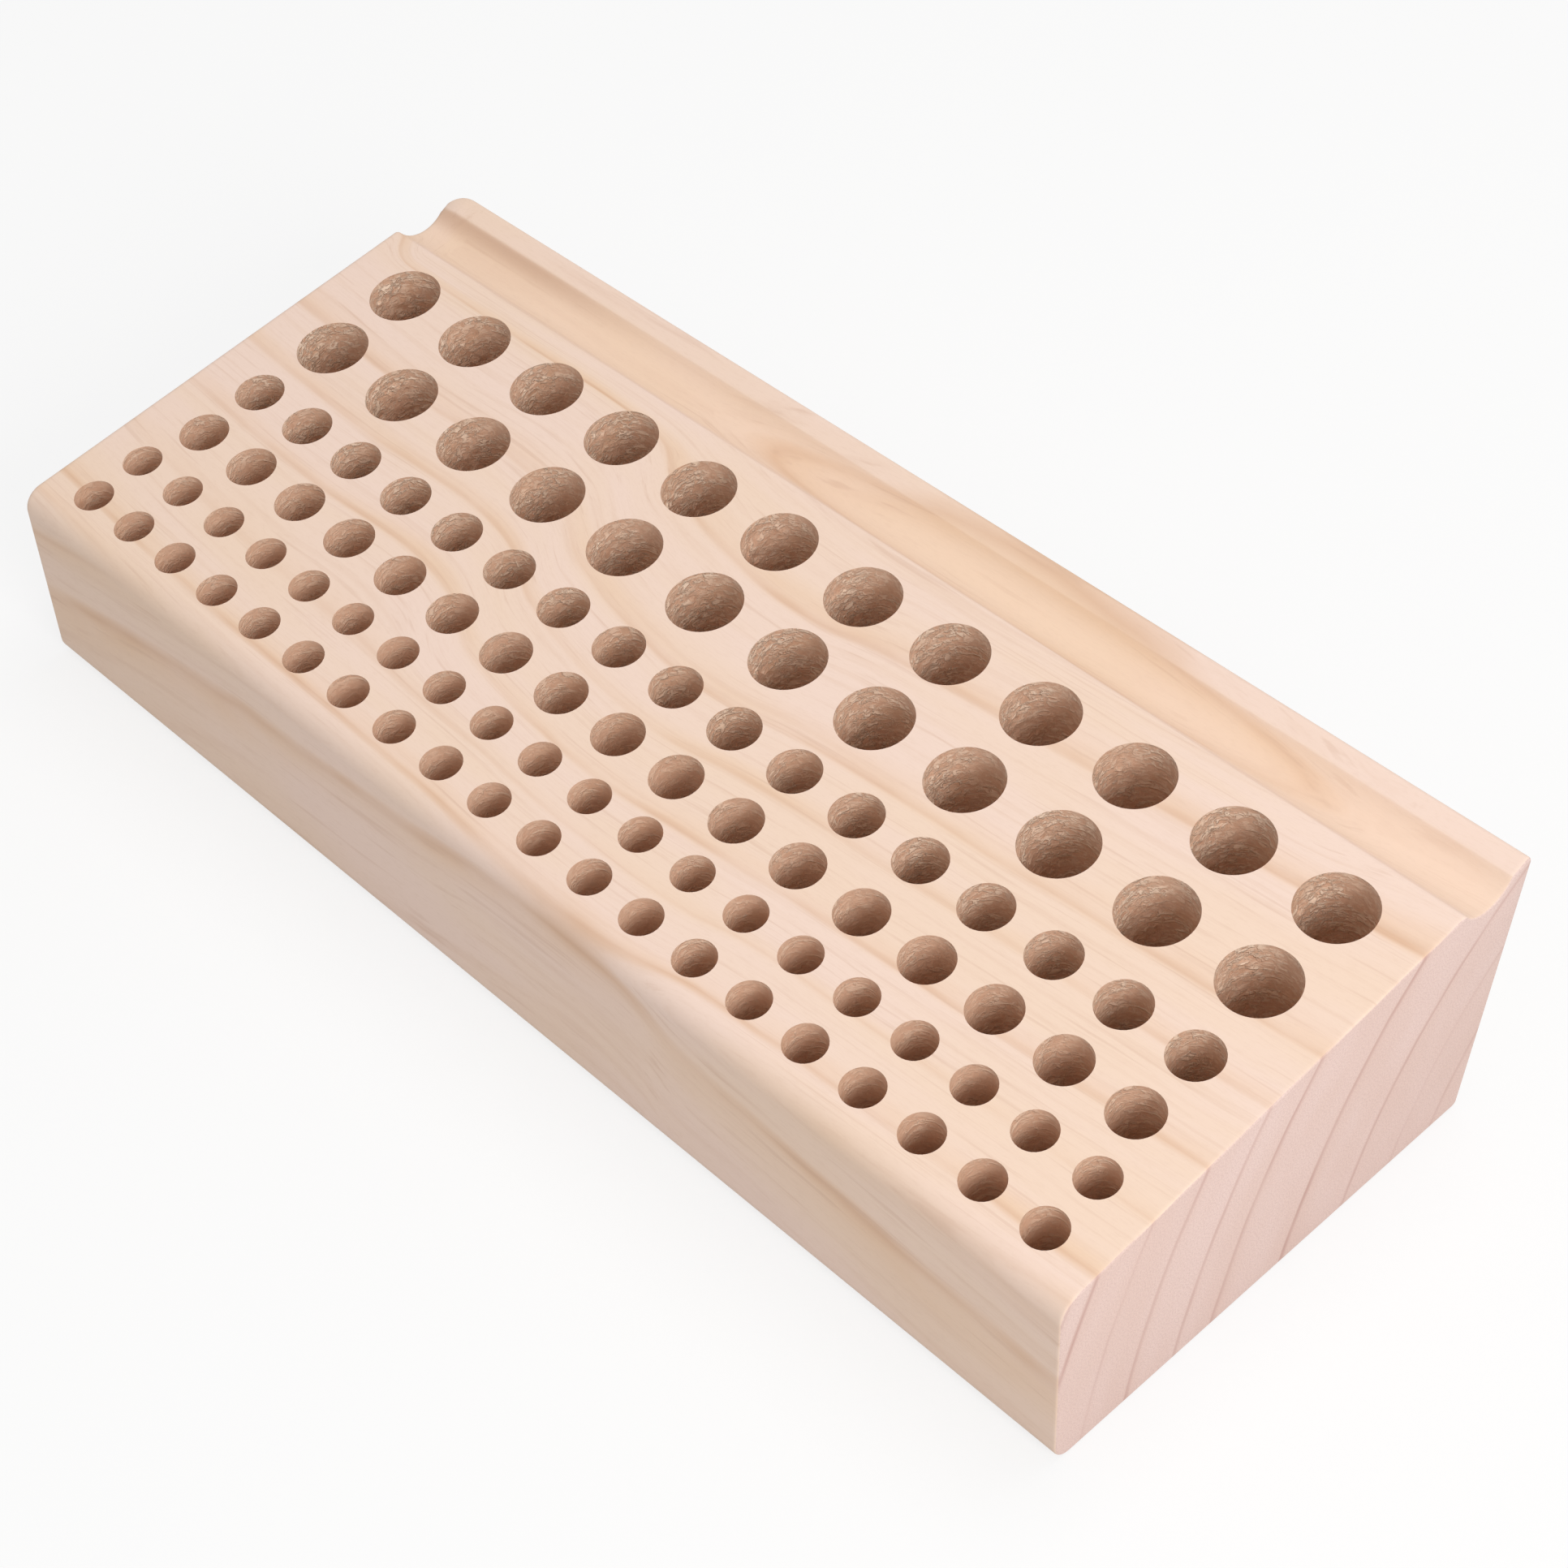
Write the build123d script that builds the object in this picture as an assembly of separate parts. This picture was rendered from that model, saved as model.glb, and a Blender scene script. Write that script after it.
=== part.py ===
"""A wooden tool rack: one solid block with a sloping top, six rows of holes and a trough behind them."""
from build123d import *
import math
import os

# The block stands on its underside, with its long side along X, its front facing -Y and +Z up.
# All lengths are in millimetres and all angles in degrees.

# The block
length = 240.0
front_height = 36.0
top_slope = 7.4
back_lean = 11.0

# Rounding of the long edges, and of the edges round the two end faces
front_top_round = 4.0
front_foot_round = 3.0
back_foot_round = 1.0
left_end_round = 0.7
right_end_round = 0.4

# The trough is a cove along the back of the top, and the low lip behind it slopes down towards it
last_row_to_trough = 16.25
trough_radius = 6.35
trough_depth = 3.7
trough_to_lip = 4.85
lip_width = 4.7
lip_back_drop = 0.3
trough_edge_round = 1.0
lip_front_round = 0.5
lip_back_round = 0.9

# The drills, and how deep they go
small_drill = 7.0
medium_drill = 8.8
large_drill = 12.8
hole_depth = 25.0

# The rows, measured up the slope from the front edge of the top
first_row = 8.0
small_row_gap = 10.5
small_to_medium_gap = 11.2
medium_row_gap = 12.4
medium_to_large_gap = 15.3
large_row_gap = 16.8

# The holes along each row, and how far the outermost ones are from the ends
small_count = 20
medium_count = 17
large_count = 12
small_end_margin = 10.3
medium_end_margin = 13.4
large_end_margin = 14.95

slope_cos = math.cos(math.radians(top_slope))
slope_sin = math.sin(math.radians(top_slope))
lean_tan = math.tan(math.radians(back_lean))

second_row = first_row + small_row_gap
third_row = second_row + small_to_medium_gap
fourth_row = third_row + medium_row_gap
fifth_row = fourth_row + medium_to_large_gap
sixth_row = fifth_row + large_row_gap

# Both edges of the trough lie on its own arc, whose centre is above the top
trough_middle = sixth_row + last_row_to_trough
centre_above_top = trough_radius - trough_depth
trough_start = trough_middle - math.sqrt(trough_radius**2 - centre_above_top**2)
lip_start = trough_middle + trough_to_lip
lip_front_drop = math.sqrt(trough_radius**2 - trough_to_lip**2) - centre_above_top
lip_end = lip_start + lip_width


def on_slope(along, below=0.0):
    """The depth and height of a point so far up the slope of the top, and so far below it."""
    depth = along * slope_cos + below * slope_sin
    height = front_height + along * slope_sin - below * slope_cos
    return depth, height


def end_outline():
    """The outline of the block's end, with every long edge rounded."""
    lip_front = on_slope(lip_start, lip_front_drop)
    lip_back = on_slope(lip_end, lip_back_drop)
    back_foot = (lip_back[0] - lip_back[1] * lean_tan, 0.0)
    front_foot = (0.0, 0.0)
    front_top = on_slope(0.0)
    trough_front = on_slope(trough_start)
    trough_floor = on_slope(trough_middle, trough_depth)
    rounds = {
        lip_front: lip_front_round,
        lip_back: lip_back_round,
        back_foot: back_foot_round,
        front_foot: front_foot_round,
        front_top: front_top_round,
        trough_front: trough_edge_round,
    }
    with BuildSketch(Plane.YZ) as outline:
        with BuildLine():
            Polyline(lip_front, lip_back, back_foot, front_foot, front_top, trough_front)
            ThreePointArc(trough_front, trough_floor, lip_front)
        make_face()
        for corner, radius in rounds.items():
            fillet(outline.vertices().sort_by_distance((*corner, 0))[0], radius)
    return outline.sketch


def plain_block():
    """The block before drilling, centred on X, with the edges of its two end faces rounded."""
    block = extrude(end_outline(), amount=length / 2, both=True)
    left_end = block.faces().sort_by(Axis.X)[0]
    block = fillet(left_end.edges(), left_end_round)
    right_end = block.faces().sort_by(Axis.X)[-1]
    return fillet(right_end.edges(), right_end_round)


def row_of_holes(count, end_margin, drill, along):
    """One row of flat-bottomed holes, square to the sloping top and evenly spaced between the ends."""
    pitch = (length - 2 * end_margin) / (count - 1)
    depth, height = on_slope(along)
    mouth = Plane(origin=(0, depth, height), x_dir=(1, 0, 0), z_dir=(0, -slope_sin, slope_cos))
    below_top = (Align.CENTER, Align.CENTER, Align.MAX)
    bore = Cylinder(drill / 2, hole_depth, align=below_top)
    return [mouth * place * bore for place in GridLocations(pitch, 1, count, 1)]


def all_holes():
    """The six rows, from the front to the back."""
    holes = row_of_holes(small_count, small_end_margin, small_drill, first_row)
    holes += row_of_holes(small_count, small_end_margin, small_drill, second_row)
    holes += row_of_holes(medium_count, medium_end_margin, medium_drill, third_row)
    holes += row_of_holes(medium_count, medium_end_margin, medium_drill, fourth_row)
    holes += row_of_holes(large_count, large_end_margin, large_drill, fifth_row)
    holes += row_of_holes(large_count, large_end_margin, large_drill, sixth_row)
    return holes


def rack_block():
    """The drilled block, moved so that the origin is under the middle of its overall size."""
    block = plain_block() - all_holes()
    return Pos(0, -block.bounding_box().center().Y, 0) * block


os.makedirs("parts", exist_ok=True)
rack = rack_block()
rack.label = "rack_block"
export_step(rack, "parts/rack_block.step")
size = rack.bounding_box().size
print(f"rack_block {size.X:.2f} x {size.Y:.2f} x {size.Z:.2f} mm")
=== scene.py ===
"""The looks of the wooden tool rack: one block of bare pine, drilled in six rows, on a pale floor."""
import math

import bmesh
import bpy
from mathutils import Euler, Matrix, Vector


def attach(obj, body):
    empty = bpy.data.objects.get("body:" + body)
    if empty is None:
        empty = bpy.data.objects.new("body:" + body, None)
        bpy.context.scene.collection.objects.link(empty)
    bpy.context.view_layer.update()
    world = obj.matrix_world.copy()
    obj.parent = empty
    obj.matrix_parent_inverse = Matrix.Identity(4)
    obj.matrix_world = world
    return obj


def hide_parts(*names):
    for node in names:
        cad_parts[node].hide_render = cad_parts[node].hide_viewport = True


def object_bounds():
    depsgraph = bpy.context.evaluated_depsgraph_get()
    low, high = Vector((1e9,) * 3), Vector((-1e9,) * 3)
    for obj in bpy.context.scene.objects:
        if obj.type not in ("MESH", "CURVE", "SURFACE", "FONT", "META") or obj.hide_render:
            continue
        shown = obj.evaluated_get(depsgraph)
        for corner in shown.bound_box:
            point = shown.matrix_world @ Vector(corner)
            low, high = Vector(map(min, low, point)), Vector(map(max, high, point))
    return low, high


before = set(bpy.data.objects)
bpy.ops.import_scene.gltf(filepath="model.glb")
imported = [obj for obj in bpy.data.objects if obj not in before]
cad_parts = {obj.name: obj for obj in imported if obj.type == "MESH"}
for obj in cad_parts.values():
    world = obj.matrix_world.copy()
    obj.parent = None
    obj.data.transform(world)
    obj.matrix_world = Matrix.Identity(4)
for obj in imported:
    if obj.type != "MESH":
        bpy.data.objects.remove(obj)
cad_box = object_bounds()

# Lengths are in millimetres and angles in degrees. Blender's own unit is the metre.
mm = 0.001

# The block: its length, and the outline of its end from the front of the underside
length = 240.0
front_height = 36.0
top_slope = 7.4
back_lean = 11.0
front_top_round = 4.0
front_foot_round = 3.0
back_foot_round = 1.0
left_end_round = 0.7
right_end_round = 0.4

# The trough is a cove along the back of the top, with a lip behind it: measured up the slope and below it
trough_middle = 90.45
trough_radius = 6.35
trough_depth = 3.7
trough_to_lip = 4.85
lip_width = 4.7
lip_back_drop = 0.3
trough_edge_round = 1.0
lip_front_round = 0.5
lip_back_round = 0.9

# The lip is sanded round at its left end: how far along, how far down, and how far in from the back
lip_end_reach = 4.5
lip_end_drop = 1.6
lip_end_inset = 3.2

# The lip's corner is sharp, so where the outline is drawn in, the corner moves by more
sharp_lip_share = 1.6

# Where the outline is drawn in, no rounding gets smaller than this
least_round = 0.1

# The holes: each row's place up the slope, count, distance of its outermost holes from the ends, drill,
# and how deeply the drill tore the fibres
hole_depth = 25.0
small_rows = (8.0, 18.5)
medium_rows = (29.7, 42.1)
large_rows = (57.4, 74.2)
small_holes = {"Count": 20, "End margin": 10.3, "Drill": 7.0, "Torn": 0.6}
medium_holes = {"Count": 17, "End margin": 13.4, "Drill": 8.8, "Torn": 1.1}
large_holes = {"Count": 12, "End margin": 14.95, "Drill": 12.8, "Torn": 1.7}

# How many sides and rings the walls of each size of hole have
small_mesh = (32, 12)
medium_mesh = (40, 15)
large_mesh = (64, 28)

# The torn grain fades in between two values each: of how squarely a wall cuts the fibres, and of the
# distances below the mouth and above the floor. Then come its tears to a metre each way, and the share of
# its depth that is left along the fibres.
torn_facing = (0.35, 0.95)
torn_below_mouth = (0.3, 2.5)
torn_above_floor = (0.5, 2.0)
tears_to_a_metre = (520.0, 520.0, 820.0)
torn_along_fibres = 0.25

# Faces with an edge shorter than this are slivers, and edges where faces turn by more than this stay sharp
shortest_edge = 0.01
sharp_from = 30.0

slope_cos = math.cos(math.radians(top_slope))
slope_sin = math.sin(math.radians(top_slope))
lean_tan = math.tan(math.radians(back_lean))
front_y = cad_box[0][1] / mm


class Wire:
    """A node's output. Arithmetic on it adds Math nodes to its tree."""

    def __init__(self, tree, socket):
        self.tree = tree
        self.socket = socket

    def maths(self, operation, *values, clamp=False):
        settings = {"operation": operation, "use_clamp": clamp}
        return self.tree.node("ShaderNodeMath", settings, dict(enumerate(values)))

    def __add__(self, other):
        return self.maths("ADD", self, other)

    __radd__ = __add__

    def __sub__(self, other):
        return self.maths("SUBTRACT", self, other)

    def __rsub__(self, other):
        return self.maths("SUBTRACT", other, self)

    def __mul__(self, other):
        return self.maths("MULTIPLY", self, other)

    __rmul__ = __mul__

    def __truediv__(self, other):
        return self.maths("DIVIDE", self, other)

    def size(self):
        return self.maths("ABSOLUTE", self)

    def root(self):
        return self.maths("SQRT", self)

    def sine(self):
        return self.maths("SINE", self)

    def cosine(self):
        return self.maths("COSINE", self)

    def at_least(self, least):
        return self.maths("MAXIMUM", self, least)

    def angle_to(self, other):
        return self.maths("ARCTAN2", self, other)

    def clamped(self):
        return self.maths("ADD", self, 0.0, clamp=True)

    def rise(self, low, high):
        """0 below low and 1 above high, with a soft step between."""
        settings = {"interpolation_type": "SMOOTHSTEP"}
        values = {"Value": self, "From Min": low, "From Max": high}
        return self.tree.node("ShaderNodeMapRange", settings, values)


class Tree:
    """A shader or geometry tree, whose nodes all come from one method."""

    def __init__(self, nodes):
        self.nodes = nodes

    def node(self, kind, settings=None, values=None, output=0):
        """A new node: its settings first, then the values or wires of its sockets."""
        made = self.nodes.nodes.new(kind)
        for name, setting in (settings or {}).items():
            if name == "stops":
                self.set_stops(made.color_ramp, setting)
            elif name == "curve":
                self.set_curve(made.mapping, setting)
            else:
                setattr(made, name, setting)
        for name, value in (values or {}).items():
            socket = made.inputs[name]
            if isinstance(value, Wire):
                self.nodes.links.new(value.socket, socket)
            else:
                socket.default_value = value
        return Wire(self, made.outputs[output]) if made.outputs else made

    @staticmethod
    def set_stops(ramp, stops):
        """Give a colour ramp its stops, each a place and a grey level."""
        while len(ramp.elements) > 1:
            ramp.elements.remove(ramp.elements[-1])
        for index, (place, level) in enumerate(stops):
            element = ramp.elements[0] if index == 0 else ramp.elements.new(place)
            element.position = place
            element.color = (level, level, level, 1.0)

    @staticmethod
    def set_curve(mapping, points):
        """Give a float curve its points, each from 0 to 1."""
        curve = mapping.curves[0]
        while len(curve.points) > 2:
            curve.points.remove(curve.points[1])
        curve.points[0].location = points[0]
        curve.points[1].location = points[-1]
        for place, level in points[1:-1]:
            curve.points.new(place, level)
        mapping.update()

    def vector(self, x, y, z):
        return self.node("ShaderNodeCombineXYZ", None, {0: x, 1: y, 2: z})

    def noise(self, vector, detail=2.0, roughness=0.5, distortion=0.0):
        """Smooth noise from 0 to 1, about 0.5 on average, which changes over about one unit of the vector."""
        values = {"Vector": vector, "Scale": 1.0, "Detail": detail}
        values |= {"Roughness": roughness, "Distortion": distortion}
        return self.node("ShaderNodeTexNoise", None, values)

    def mix_colour(self, amount, first, second):
        settings = {"data_type": "RGBA"}
        return self.node("ShaderNodeMix", settings, {"Factor": amount, 6: first, 7: second}, output=2)


# The block's mesh


def on_slope(along, below=0.0):
    """The depth and height of a point so far up the slope of the top, and so far below it."""
    depth = along * slope_cos + below * slope_sin
    height = front_height + along * slope_sin - below * slope_cos
    return Vector((depth, height))


def rounded_corner(before, corner, after, radius, count):
    """The points of the arc that rounds a corner, from the side that comes before it, in so many steps."""
    towards_before = (before - corner).normalized()
    towards_after = (after - corner).normalized()
    half_turn = (math.pi - towards_before.angle(towards_after)) / 2
    reach = radius * math.tan(half_turn)
    start = corner + towards_before * reach
    middle = corner + (towards_before + towards_after).normalized() * radius / math.cos(half_turn)
    side = math.copysign(1.0, towards_before.x * towards_after.y - towards_before.y * towards_after.x)
    spoke = start - middle
    points = []
    for index in range(count + 1):
        turn = -side * 2 * half_turn * index / count
        cos, sin = math.cos(turn), math.sin(turn)
        points.append(middle + Vector((spoke.x * cos - spoke.y * sin, spoke.x * sin + spoke.y * cos)))
    return points


def end_outline(drawn_in=0.0, lip_drop=0.0, lip_inset=0.0, rest=0.4, trough_steps=14):
    """The block's rounded outline, drawn in all round, with its lip drawn in further from above and behind.

    Each flat starts and ends with a short rest next to its arcs. However far the outline is drawn in, it has
    as many points.
    """
    centre_above_top = trough_radius - trough_depth
    radius = trough_radius + drawn_in

    def trough_run(below):
        """How far from the trough's middle its wall is at that depth."""
        return math.sqrt(radius**2 - (below + centre_above_top) ** 2)

    front_drop = math.sqrt(trough_radius**2 - trough_to_lip**2) - centre_above_top + lip_drop
    lip_end = trough_middle + trough_to_lip + lip_width
    behind = on_slope(lip_end, lip_back_drop)
    lip_back = on_slope(lip_end - lip_inset, lip_back_drop + lip_drop)
    lip_angle = math.asin(trough_run(front_drop) / radius)
    front_angle = -math.asin(trough_run(drawn_in) / radius)
    front_top = (drawn_in - drawn_in * slope_sin) / slope_cos

    # Each corner, its rounding and the steps of that, and how many parts the flat after it is in
    corners = [
        (Vector((drawn_in, drawn_in)), front_foot_round, 10, 17),
        (Vector((behind.x - behind.y * lean_tan - drawn_in, drawn_in)), back_foot_round, 8, 9),
        (lip_back, lip_back_round, 12, 1),
    ]
    for index in range(trough_steps + 1):
        angle = lip_angle + (front_angle - lip_angle) * index / trough_steps
        along = trough_middle + radius * math.sin(angle)
        point = on_slope(along, radius * math.cos(angle) - centre_above_top)
        if index == 0:
            corners.append((point, lip_front_round, 4, 0))
        elif index == trough_steps:
            corners.append((point, trough_edge_round, 6, 16))
        else:
            corners.append((point, 0.0, 0, 0))
    corners.append((on_slope(front_top, drawn_in), front_top_round, 14, 6))

    arcs = []
    for index, (corner, rounding, steps, _) in enumerate(corners):
        before = corners[index - 1][0]
        after = corners[(index + 1) % len(corners)][0]
        kept = max(rounding - drawn_in, least_round)
        arcs.append(rounded_corner(before, corner, after, kept, steps) if steps else [corner])
    outline = []
    for arc, following, (_, _, _, parts) in zip(arcs, arcs[1:] + arcs[:1], corners):
        outline += arc
        if parts:
            flat = following[0] - arc[-1]
            inner = flat.length - 2 * rest
            for index in range(parts + 1):
                outline.append(arc[-1] + flat.normalized() * (rest + inner * index / parts))
    return outline


def round_off(distance, reach, depth):
    """How far a rounded end is drawn in, so far from the end."""
    left = max(0.0, 1.0 - distance / reach)
    return depth * (1 - math.sqrt(1 - left * left))


def block_rings(spacing=5.0, left_steps=9, right_steps=3):
    """The block's rings of points from left to right, each with its place along X."""
    rings = []
    for index in range(left_steps):
        distance = lip_end_reach * (1 - math.cos(math.pi / 2 * index / left_steps))
        drawn_in = round_off(distance, left_end_round, left_end_round)
        lip_drop = round_off(distance, lip_end_reach, lip_end_drop)
        lip_inset = round_off(distance, lip_end_reach, lip_end_inset)
        rings.append((distance - length / 2, end_outline(drawn_in, lip_drop, lip_inset)))
    start = lip_end_reach - length / 2
    end = length / 2 - 2 * right_end_round
    count = round((end - start) / spacing)
    for index in range(count + 1):
        rings.append((start + (end - start) * index / count, end_outline()))
    for index in range(right_steps + 1):
        distance = right_end_round * math.cos(math.pi / 2 * index / right_steps)
        distance = right_end_round - math.sqrt(right_end_round**2 - distance**2)
        drawn_in = round_off(distance, right_end_round, right_end_round)
        lip_draw = drawn_in * sharp_lip_share
        rings.append((length / 2 - distance, end_outline(drawn_in, lip_draw, lip_draw)))
    return rings


def plain_block():
    """The block before it is drilled, as a closed mesh."""
    shape = bmesh.new()
    rings = []
    for place, ring in block_rings():
        rings.append([shape.verts.new((place * mm, (p.x + front_y) * mm, p.y * mm)) for p in ring])
    around = len(rings[0])
    for ring, following in zip(rings, rings[1:]):
        for index in range(around):
            after = (index + 1) % around
            shape.faces.new((ring[index], ring[after], following[after], following[index]))
    shape.faces.new(rings[0])
    shape.faces.new(rings[-1][::-1])
    bmesh.ops.recalc_face_normals(shape, faces=shape.faces)
    mesh = bpy.data.meshes.new("pine_rack")
    shape.to_mesh(mesh)
    shape.free()
    return mesh


# The holes


def row_of_holes_tree(drilled):
    """A Geometry Nodes tree that drills one row: its drills are cut out of the block that comes in."""
    group = bpy.data.node_groups.new("row_of_holes", "GeometryNodeTree")
    panel = group.interface
    panel.new_socket("Geometry", in_out="INPUT", socket_type="NodeSocketGeometry")
    for name in ("Count", "Around", "Down", "Seed"):
        panel.new_socket(name, in_out="INPUT", socket_type="NodeSocketInt")
    lengths = ("Length", "End margin", "Drill", "Along slope", "Depth", "Front height", "Front", "Torn")
    for name in (*lengths, "Tilt"):
        panel.new_socket(name, in_out="INPUT", socket_type="NodeSocketFloat")
    panel.new_socket("Geometry", in_out="OUTPUT", socket_type="NodeSocketGeometry")
    tree = Tree(group)
    into = group.nodes.new("NodeGroupInput")
    given = {socket.name: Wire(tree, socket) for socket in into.outputs if socket.name}

    # One drill: a closed cylinder that hangs from the mouth of its hole and stands a little above it
    proud = 2.0 * mm
    cylinder = tree.node(
        "GeometryNodeMeshCylinder",
        {"fill_type": "NGON"},
        {
            "Vertices": given["Around"],
            "Side Segments": given["Down"],
            "Radius": given["Drill"] / 2,
            "Depth": given["Depth"] + proud,
        },
    )
    hung = tree.node(
        "GeometryNodeTransform",
        None,
        {"Geometry": cylinder, "Translation": tree.vector(0.0, 0.0, (proud - given["Depth"]) / 2)},
    )

    # The row: evenly spaced points between the two end margins, on the slope
    run = given["Length"] - 2 * given["End margin"]
    first = tree.vector(run / -2, 0.0, 0.0)
    step = tree.vector(run / (given["Count"] - 1), 0.0, 0.0)
    points = tree.node(
        "GeometryNodeMeshLine",
        {"mode": "OFFSET"},
        {"Count": given["Count"], "Start Location": first, "Offset": step},
    )
    row = tree.node("GeometryNodeInstanceOnPoints", None, {"Points": points, "Instance": hung})
    place = tree.vector(
        0.0,
        given["Front"] + given["Along slope"] * given["Tilt"].cosine(),
        given["Front height"] + given["Along slope"] * given["Tilt"].sine(),
    )
    tilt = tree.vector(given["Tilt"], 0.0, 0.0)

    # Torn grain on the walls that cut across the fibres, worked out before the row is tilted
    loose = tree.node("GeometryNodeRealizeInstances", None, {"Geometry": row})
    normal = tree.node("GeometryNodeInputNormal")
    facing = tree.node("ShaderNodeSeparateXYZ", None, {0: normal}, output="X")
    across_fibres = facing.size().rise(*torn_facing)
    position = tree.node("GeometryNodeInputPosition")
    up = tree.node("ShaderNodeSeparateXYZ", None, {0: position}, output="Z")
    below_mouth = (up * -1).rise(*(depth * mm for depth in torn_below_mouth))
    above_floor = (up + given["Depth"]).rise(*(height * mm for height in torn_above_floor))
    seeded = tree.node(
        "ShaderNodeVectorMath",
        {"operation": "ADD"},
        {0: position, 1: tree.vector(0.0, given["Seed"], 0.0)},
    )
    stretched = tree.node(
        "ShaderNodeVectorMath", {"operation": "MULTIPLY"}, {0: seeded, 1: tears_to_a_metre}
    )
    rough = tree.noise(stretched, detail=2.0, roughness=0.6) - 0.5
    share = torn_along_fibres + (1 - torn_along_fibres) * across_fibres
    moved = rough * given["Torn"] * share * below_mouth * above_floor
    offset = tree.node("ShaderNodeVectorMath", {"operation": "SCALE"}, {0: normal, "Scale": moved})
    torn = tree.node("GeometryNodeSetPosition", None, {"Geometry": loose, "Offset": offset})
    marked = tree.node(
        "GeometryNodeStoreNamedAttribute",
        {"data_type": "FLOAT", "domain": "FACE"},
        {"Geometry": torn, "Name": "drilled", "Value": 1.0},
    )
    tilted = tree.node(
        "GeometryNodeTransform", None, {"Geometry": marked, "Translation": place, "Rotation": tilt}
    )

    # The cut, after which the hole's walls get their own finish
    cut = tree.node(
        "GeometryNodeMeshBoolean",
        {"operation": "DIFFERENCE", "solver": "MANIFOLD"},
        {"Mesh 1": given["Geometry"], "Mesh 2": tilted},
    )
    plain = tree.node("GeometryNodeRealizeInstances", None, {"Geometry": cut})
    of_drill = tree.node("GeometryNodeInputNamedAttribute", {"data_type": "FLOAT"}, {"Name": "drilled"})
    walls = tree.node("FunctionNodeCompare", {"operation": "GREATER_THAN"}, {0: of_drill, 1: 0.5})
    finished = tree.node(
        "GeometryNodeSetMaterial", None, {"Geometry": plain, "Selection": walls, "Material": drilled}
    )
    out = group.nodes.new("NodeGroupOutput")
    group.links.new(finished.socket, out.inputs[0])
    return group


def drill_row(block, group, along, holes, around, down, seed):
    """Add the modifier that drills one row, with its sizes set by the sockets' identifiers."""
    sizes = {
        "Count": holes["Count"],
        "Around": around,
        "Down": down,
        "Seed": seed,
        "Length": length * mm,
        "End margin": holes["End margin"] * mm,
        "Drill": holes["Drill"] * mm,
        "Along slope": along * mm,
        "Depth": hole_depth * mm,
        "Front height": front_height * mm,
        "Front": front_y * mm,
        "Tilt": math.radians(top_slope),
        "Torn": holes["Torn"] * mm,
    }
    modifier = block.modifiers.new(f"row_{seed}", "NODES")
    modifier.node_group = group
    for item in group.interface.items_tree:
        if item.in_out == "INPUT" and item.name in sizes:
            modifier[item.identifier] = sizes[item.name]


def drilled_block(planed, drilled):
    """The whole rack: the block with its six rows of holes, as one plain closed mesh."""
    mesh = plain_block()
    mesh.materials.append(planed)
    block = bpy.data.objects.new("pine_block", mesh)
    bpy.context.collection.objects.link(block)
    group = row_of_holes_tree(drilled)
    rows = [(along, small_holes, small_mesh) for along in small_rows]
    rows += [(along, medium_holes, medium_mesh) for along in medium_rows]
    rows += [(along, large_holes, large_mesh) for along in large_rows]
    for number, (along, holes, (around, down)) in enumerate(rows, 1):
        drill_row(block, group, along, holes, around, down, number)
    bpy.context.view_layer.update()
    evaluated = block.evaluated_get(bpy.context.evaluated_depsgraph_get())
    drilled_mesh = bpy.data.meshes.new_from_object(evaluated)
    block.modifiers.clear()
    block.data = drilled_mesh

    # The cuts leave slivers at the mouths, which go once every face is a triangle
    shape = bmesh.new()
    shape.from_mesh(drilled_mesh)
    bmesh.ops.triangulate(shape, faces=shape.faces, quad_method="BEAUTY", ngon_method="BEAUTY")
    bmesh.ops.dissolve_degenerate(shape, dist=shortest_edge * mm, edges=shape.edges)
    shape.to_mesh(drilled_mesh)
    shape.free()
    for face in drilled_mesh.polygons:
        face.use_smooth = True
    drilled_mesh.set_sharp_from_angle(angle=math.radians(sharp_from))
    return block


# The finishes


def paint(red, green, blue):
    """A display colour from 0 to 255 as the shader's own colour."""

    def linear(level):
        share = level / 255
        return share / 12.92 if share <= 0.04045 else ((share + 0.055) / 1.055) ** 2.4

    return (linear(red), linear(green), linear(blue), 1.0)


# The growth rings lie round the heart of the tree, a line along X behind the block and below it
heart_y = 92.7
heart_z = -25.0

# Each ring's distance from the heart, how dark its late wood is, and how gently it starts
rings = [
    (64.0, 0.6, 2.0),
    (73.0, 0.3, 2.5),
    (83.8, 0.8, 3.0),
    (97.4, 1.0, 4.5),
    (112.1, 0.7, 5.0),
    (120.1, 0.7, 3.0),
    (130.3, 0.8, 3.5),
    (138.5, 0.3, 2.5),
    (147.6, 1.0, 4.0),
    (152.0, 0.6, 2.5),
]
rings_from = 54.0
rings_to = 158.0

# How far the rings swell towards the front and the top at places along the block: in its body, and near its
# front, which starts between two distances from the heart
swell_inside = [
    (-120, -5.5),
    (-78, -4.0),
    (-58, -4.2),
    (-31, 2.3),
    (-11, 5.4),
    (2, 6.2),
    (22, 4.6),
    (61, 2.8),
    (120, 0),
]
swell_in_front = [(-120, 0), (-64, 3.3), (-20, 4.2), (2, 5.5), (28, 5.6), (46, 3.4), (61, 2.8), (120, 1.3)]
swell_range = 16.0
front_distance = (128.0, 146.0)

# How far the rings wander over several centimetres, and ripple over one or two
wander_size = 1.3
ripple_size = 0.4

# The oval that the trough cuts: which ring it is, its middle and half length along the block, its height, and
# the lowest that its arch goes as a share of that
oval_distance = 83.8
oval_middle = 29.0
oval_half_length = 59.0
oval_height = 3.0
oval_lowest = -0.5

# Where the rings turn level for the oval: up the slope, and in from the left end and the right end
level_up_slope = (77.0, 86.0)
level_from_left = (-119.0, -110.0)
level_to_right = (92.0, 112.0)

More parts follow.
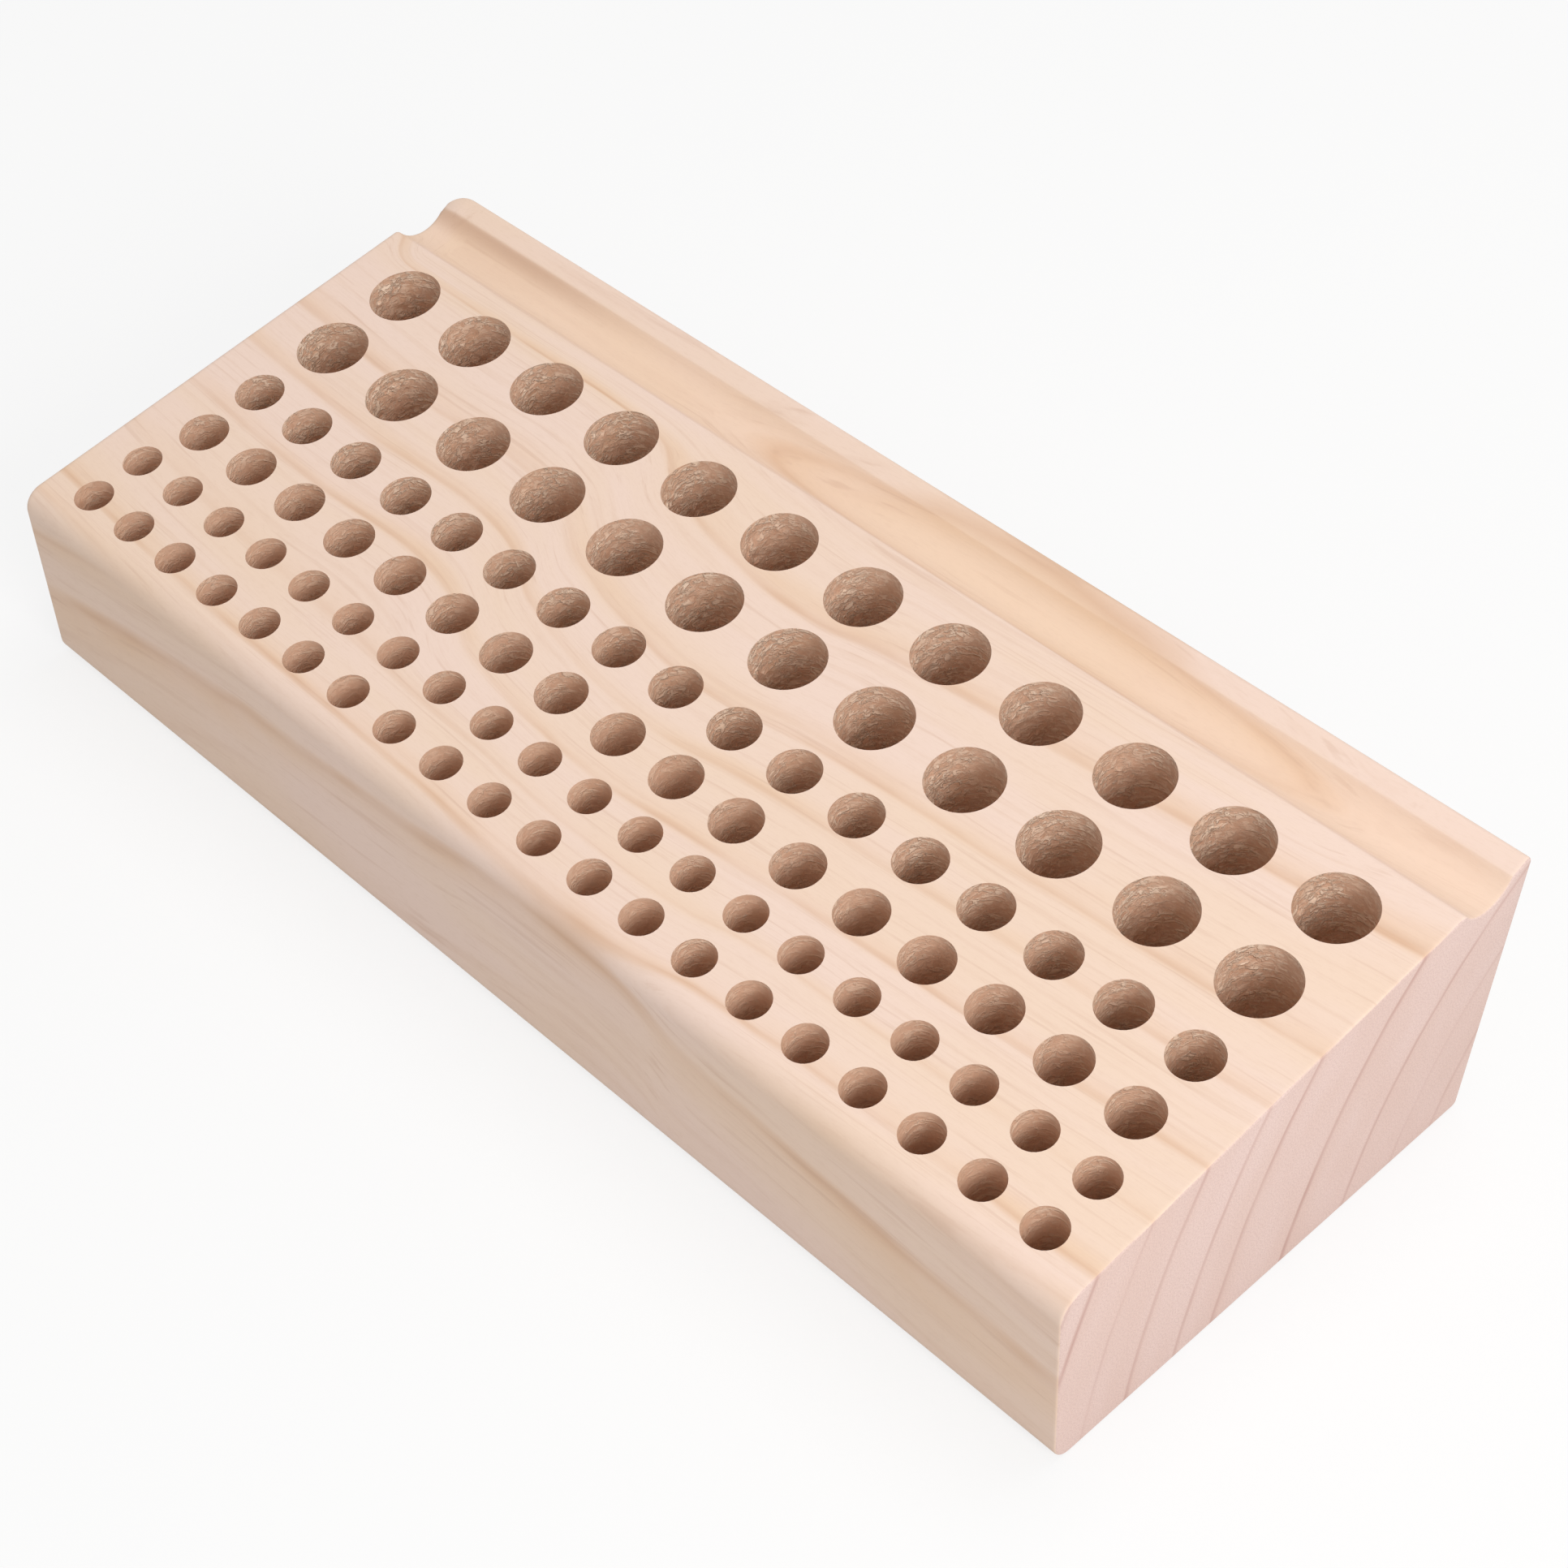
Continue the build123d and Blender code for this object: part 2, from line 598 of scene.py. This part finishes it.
# The trough's yellower floor, from front to back and down, and the painted shade below its crease at the left
floor_front = (84.6, 87.0)
floor_back = (94.8, 95.8)
floor_depth = (3.8, 5.0)
crease_start = (91.0, 94.6)
crease_end = (-98.0, -60.0)

# A place round the heart is its angle as an arc of this radius
grain_radius = 100.0


def swell(tree, x, points):
    """How far the rings are pushed out at a place along the block."""
    curve = [(place / length + 0.5, amount / swell_range + 0.5) for place, amount in points]
    level = tree.node("ShaderNodeFloatCurve", {"curve": curve}, {"Value": x / length + 0.5})
    return (level - 0.5) * swell_range


def ring_stops(start_share, end_gap):
    """A ramp's stops, which rise to each ring's late wood and fall behind it."""
    reach = rings_to - rings_from
    stops = []
    for distance, darkness, start in rings:
        stops.append(((distance - start * start_share - rings_from) / reach, 0.0))
        stops.append(((distance - rings_from) / reach, darkness))
        stops.append(((distance + end_gap - rings_from) / reach, 0.0))
    return stops


class Figure:
    """The pine's rings, fibres and tones, and the painted shade below the trough's crease, as fields in the
    block's own space, alike on every face.
    """

    def __init__(self, tree):
        place = tree.node("ShaderNodeTexCoord", output="Object")
        scaled = tree.node("ShaderNodeVectorMath", {"operation": "SCALE"}, {0: place, "Scale": 1 / mm})
        parts = tree.node("ShaderNodeSeparateXYZ", None, {0: scaled}).socket.node.outputs
        self.x, self.y, self.z = (Wire(tree, part) for part in parts)
        behind = heart_y - self.y
        above = self.z - heart_z
        distance = (behind * behind + above * above).root()
        self.around = above.angle_to(behind) * grain_radius
        near_front = distance.rise(*front_distance)
        inside = swell(tree, self.x, swell_inside)
        in_front = swell(tree, self.x, swell_in_front)
        pushed = inside + (in_front - inside) * near_front
        wander = tree.noise(tree.vector(self.x / 70, self.y / 30, self.z / 30), detail=2.0) - 0.5
        ripple = tree.noise(tree.vector(self.x / 18, self.around / 9, distance / 9), detail=1.0) - 0.5
        body = distance - pushed

        # Under the trough the rings lie level with the top, so that the trough cuts one into a long oval
        up_slope = (self.y - front_y) * slope_cos + (self.z - front_height) * slope_sin
        self.below = (self.y - front_y) * slope_sin - (self.z - front_height) * slope_cos
        from_oval = (self.x - oval_middle) / oval_half_length
        arched = (1 - from_oval * from_oval).at_least(oval_lowest)
        level = oval_distance + trough_depth - arched * oval_height - self.below
        away_from_ends = (1 - self.x.rise(*level_to_right)) * self.x.rise(*level_from_left)
        ring = body + (level - body) * up_slope.rise(*level_up_slope) * away_from_ends
        self.ring = ring + wander * wander_size + ripple * ripple_size
        self.near_ring = self.placed_in_rings(tree, start_share=0.8, end_gap=0.7)
        self.ring_line = self.placed_in_rings(tree, start_share=0.2, end_gap=0.4)
        self.long_fibres = self.fibres(tree, (60, 0.9, 5), detail=3.0)
        self.short_fibres = self.fibres(tree, (9, 0.3, 1.2), detail=2.0)
        self.tone = self.fibres(tree, (70, 9, 22), detail=2.0)
        self.patches = self.fibres(tree, (26, 4, 12), detail=2.0)

        # Thin dark streaks, each a few centimetres long, and the fine grain between them
        self.streaks = self.fibres(tree, (34, 0.55, 2.4), detail=2.0, roughness=0.6).rise(0.57, 0.74)
        self.grain = self.fibres(tree, (2.2, 0.3, 0.4), detail=2.0, roughness=0.7)

        # The trough's floor, and the painted shade below its crease at the left
        across_trough = up_slope.rise(*floor_front) * (1 - up_slope.rise(*floor_back))
        self.in_trough = across_trough * (1 - self.below.rise(*floor_depth))
        at_left = 1 - self.x.rise(*crease_end)
        self.painted_crease_shade = self.in_trough * up_slope.rise(*crease_start) * at_left

    def placed_in_rings(self, tree, start_share, end_gap):
        """1 at the late wood of a dark ring, less at a pale one's, and 0 between the rings."""
        share = (self.ring - rings_from) / (rings_to - rings_from)
        stops = ring_stops(start_share, end_gap)
        return tree.node("ShaderNodeValToRGB", {"stops": stops}, {"Fac": share})

    def fibres(self, tree, sizes, **settings):
        """Noise that follows the fibres, of a size along the block, across the rings and round the heart."""
        along, across, around = sizes
        place = tree.vector(self.x / along, self.ring / across, self.around / around)
        return tree.noise(place, **settings)


def facing_along(tree):
    """How squarely a face looks along X, where the fibres are cut through."""
    normal = tree.node("ShaderNodeNewGeometry", output="Normal")
    return tree.node("ShaderNodeSeparateXYZ", None, {0: normal}, output="X").size()


def new_material(name):
    """An empty node material and its tree."""
    material = bpy.data.materials.new(name)
    material.use_nodes = True
    material.node_tree.nodes.clear()
    return material, Tree(material.node_tree)


def surface(tree, colour, roughness, height, relief, specular):
    """Matt wood: its colour and roughness, and a height from 0 to 1 that stands for so much relief."""
    bump = tree.node("ShaderNodeBump", None, {"Distance": relief * mm, "Height": height, "Strength": 1.0})
    values = {"Base Color": colour, "Roughness": roughness, "Normal": bump, "Specular IOR Level": specular}
    shader = tree.node("ShaderNodeBsdfPrincipled", None, values)
    tree.node("ShaderNodeOutputMaterial", None, {"Surface": shader})


def planed_pine():
    """Bare planed pine: cream with honey late wood on its sides, pinker with thin red rings on its ends."""
    material, tree = new_material("planed_pine")
    figure = Figure(tree)
    end = facing_along(tree).rise(0.5, 0.8)

    # Along the grain
    body = tree.mix_colour(figure.tone.rise(0.35, 0.65), paint(245, 219, 204), paint(244, 217, 196))
    yellower = tree.mix_colour(figure.in_trough * 0.4, body, paint(240, 208, 176))
    patchy = figure.patches.rise(0.3, 0.7)
    honey = tree.mix_colour(figure.near_ring * (0.18 + patchy * 0.4), yellower, paint(233, 190, 146))
    lined = tree.mix_colour(figure.ring_line * (0.1 + patchy * 0.35), honey, paint(198, 148, 116))
    fibre_amount = figure.long_fibres.rise(0.5, 0.75) * 0.3
    fibrous = tree.mix_colour(fibre_amount, lined, paint(228, 195, 172))
    streaked = tree.mix_colour(figure.streaks * 0.24, fibrous, paint(206, 166, 140))
    grained = tree.mix_colour(figure.grain.rise(0.45, 0.8) * 0.14, streaked, paint(214, 180, 154))
    # Painted shade: the steep wall just below the lip's crease is darkened towards the left end
    side = tree.mix_colour(figure.painted_crease_shade * 0.5, grained, paint(198, 158, 130))

    # Across the grain
    plain_end = tree.mix_colour(figure.tone.rise(0.3, 0.7), paint(233, 208, 200), paint(229, 202, 192))
    warm_end = tree.mix_colour(figure.near_ring * 0.25, plain_end, paint(220, 186, 172))
    ringed_end = tree.mix_colour(figure.ring_line * (0.45 + patchy * 0.4), warm_end, paint(180, 130, 120))
    speckle = tree.noise(tree.vector(0.0, figure.y / 0.3, figure.z / 0.3), detail=2.0, roughness=0.7)
    cut_end = tree.mix_colour(speckle.rise(0.4, 0.65) * 0.5, ringed_end, paint(206, 176, 168))

    colour = tree.mix_colour(end, side, cut_end)
    side_height = figure.short_fibres * 0.5 + figure.long_fibres * 0.5
    height = side_height + (speckle - side_height) * end
    roughness = 0.55 + figure.long_fibres * 0.15 + end * 0.1
    surface(tree, colour, roughness, height, relief=0.05, specular=0.25)
    return material


def drilled_pine():
    """The holes' walls: browned by the drill, torn across the fibres, with the drill's marks elsewhere, and
    with painted highlights on the torn ridges and painted shade in the cracks between them.
    """
    material, tree = new_material("drilled_pine")
    figure = Figure(tree)
    torn_side = facing_along(tree).rise(0.3, 0.9)
    place = tree.vector(figure.x / 1.2, figure.y / 1.2, figure.below / 0.75)
    ragged = tree.noise(place, detail=3.0, roughness=0.6, distortion=0.8)
    patchy = tree.noise(tree.vector(figure.x / 6, figure.y / 6, figure.below / 3), detail=1.0)

    # The wider drills, which are further back, tore stronger crinkles, with painted highlights on their
    # ridges and painted shade in the cracks between
    wide_drill = 0.45 + figure.y.rise(-34.0, 6.0) * 0.55
    torn = ragged.rise(0.44, 0.62) * (0.4 + patchy.rise(0.35, 0.65) * 0.6) * wide_drill
    crack_shade = (1 - ragged.rise(0.34, 0.46)) * (0.4 + torn_side * 0.6) * wide_drill

    # The marks of the drill's feed: faint rings down the hole
    turns = figure.below * 3.6 + figure.y * 0.5 + patchy * 9.0
    feed = turns.sine().rise(0.7, 1.0) * patchy.rise(0.45, 0.6)
    height = feed * 0.45 * (1 - torn_side) + torn * (0.45 + torn_side * 0.55)
    # Painted highlight: the torn ridges are made lighter. Painted shade: the cracks between them are made
    # darker.
    ridge_highlighted = tree.mix_colour(torn, paint(230, 193, 167), paint(255, 232, 210))
    shaded_cracks = tree.mix_colour(crack_shade * 0.4, ridge_highlighted, paint(186, 138, 110))
    ringed = tree.mix_colour(figure.near_ring * 0.2, shaded_cracks, paint(214, 168, 128))
    scratched = tree.mix_colour(feed * 0.6, ringed, paint(255, 230, 206))
    surface(tree, scratched, 0.5, height, relief=0.24, specular=0.2)
    return material


# The stage


def soft_lamp(name, place, aim, width, power, colour):
    """A square soft lamp at a place, turned to what it aims at."""
    light = bpy.data.lights.new(name, "AREA")
    light.shape = "SQUARE"
    light.size = width
    light.energy = power
    light.color = colour
    lamp = bpy.data.objects.new(name, light)
    lamp.location = place
    lamp.rotation_euler = (Vector(aim) - Vector(place)).to_track_quat("-Z", "Y").to_euler()
    bpy.context.collection.objects.link(lamp)


def pale_floor():
    """A wide white floor that keeps the rack's shadow. The camera sees it whiter than it lights the rack."""
    half = 3.0

    # The floor is a hair below the underside, so that the two don't lie in one plane
    level = -0.05 * mm
    corners = [(-half, -half, level), (half, -half, level), (half, half, level), (-half, half, level)]
    mesh = bpy.data.meshes.new("floor")
    mesh.from_pydata(corners, [], [(0, 1, 2, 3)])
    floor = bpy.data.objects.new("floor", mesh)
    bpy.context.collection.objects.link(floor)
    material, tree = new_material("white_floor")
    grey = tree.node("ShaderNodeBsdfDiffuse", None, {"Color": (0.65, 0.65, 0.65, 1.0)})
    shaded = tree.node("ShaderNodeBsdfDiffuse", None, {"Color": (0.9, 0.9, 0.9, 1.0)})
    bright = tree.node("ShaderNodeEmission", None, {"Color": (1.0, 1.0, 1.0, 1.0), "Strength": 1.0})
    white = tree.node("ShaderNodeMixShader", None, {0: 0.75, 1: shaded, 2: bright})
    seen = tree.node("ShaderNodeLightPath", output="Is Camera Ray")
    mirrored = tree.node("ShaderNodeLightPath", output="Is Glossy Ray")
    let_through = tree.node("ShaderNodeLightPath", output="Is Transmission Ray")
    direct = (seen + mirrored + let_through).clamped()
    mixed = tree.node("ShaderNodeMixShader", None, {0: direct, 1: grey, 2: white})
    tree.node("ShaderNodeOutputMaterial", None, {"Surface": mixed})
    mesh.materials.append(material)


def camera():
    """The photograph's point of view: from the right of the front, looking down on the top."""
    lens = bpy.data.cameras.new("camera")
    lens.lens = 74.05
    lens.sensor_width = 36.0
    lens.clip_start = 0.01
    seen = bpy.data.objects.new("camera", lens)
    seen.location = (282.6 * mm, -239.06 * mm, 387.6 * mm)
    seen.rotation_euler = Euler([math.radians(turn) for turn in (44.65, 2.09, 46.06)])
    bpy.context.collection.objects.link(seen)
    bpy.context.scene.camera = seen


def studio_light():
    """A pale sky, a soft key lamp from the right and a little in front, and a soft lamp high behind."""
    world = bpy.data.worlds.new("world")
    world.use_nodes = True
    sky = world.node_tree.nodes["Background"].inputs
    sky["Color"].default_value = (0.98, 0.99, 1.0, 1.0)
    sky["Strength"].default_value = 0.57
    bpy.context.scene.world = world
    aim = (0, 0, 0.02)
    soft_lamp("key", (0.8, -0.22, 0.52), aim, width=0.4, power=4.1, colour=(1.0, 0.97, 0.94))
    soft_lamp("high_lamp", (0.05, 0.3, 0.95), aim, width=0.5, power=2.2, colour=(1.0, 0.97, 0.93))


camera()
pale_floor()
studio_light()
bpy.context.scene.view_settings.view_transform = "Standard"

rack = drilled_block(planed_pine(), drilled_pine())
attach(rack, "root")
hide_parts("rack_block")
